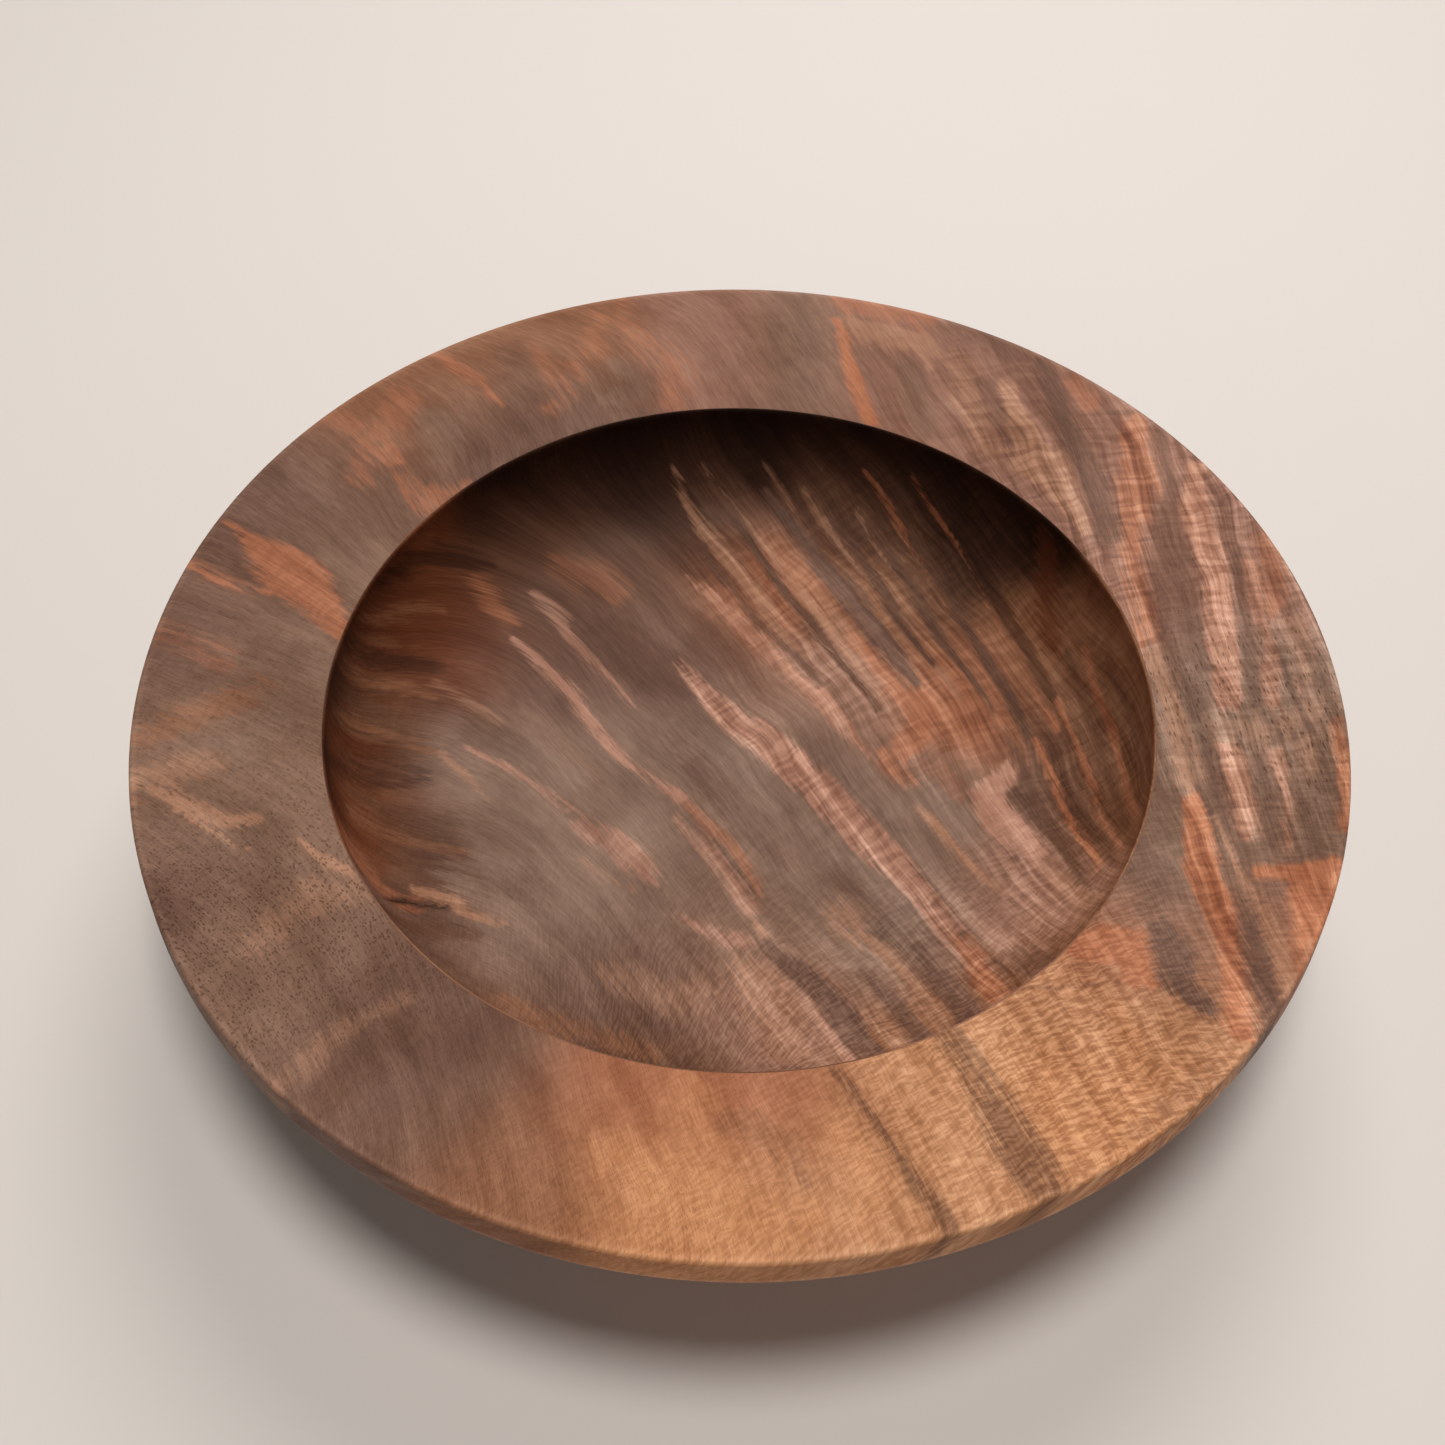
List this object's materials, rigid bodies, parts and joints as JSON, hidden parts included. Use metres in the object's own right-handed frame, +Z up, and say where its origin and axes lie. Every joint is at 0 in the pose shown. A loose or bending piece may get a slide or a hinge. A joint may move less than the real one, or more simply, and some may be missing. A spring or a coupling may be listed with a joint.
{
  "type": "wooden bowl",
  "caption": "Shallow turned wooden bowl: a wide flat rim that falls gently to a round well with a coved wall and a dished floor, standing on a turned foot.",
  "frame": {"origin": "centre of the foot, on the surface that the bowl stands on", "axes": "+Z up, along the axis the bowl was turned about; X and Y lie in the plane of the foot"},
  "size_m": [0.2012, 0.2012, 0.0429],
  "materials": {
    "walnut": "oiled satin"
  },
  "bodies": {
    "root": {"bowl": "walnut"}
  },
  "joints": []
}
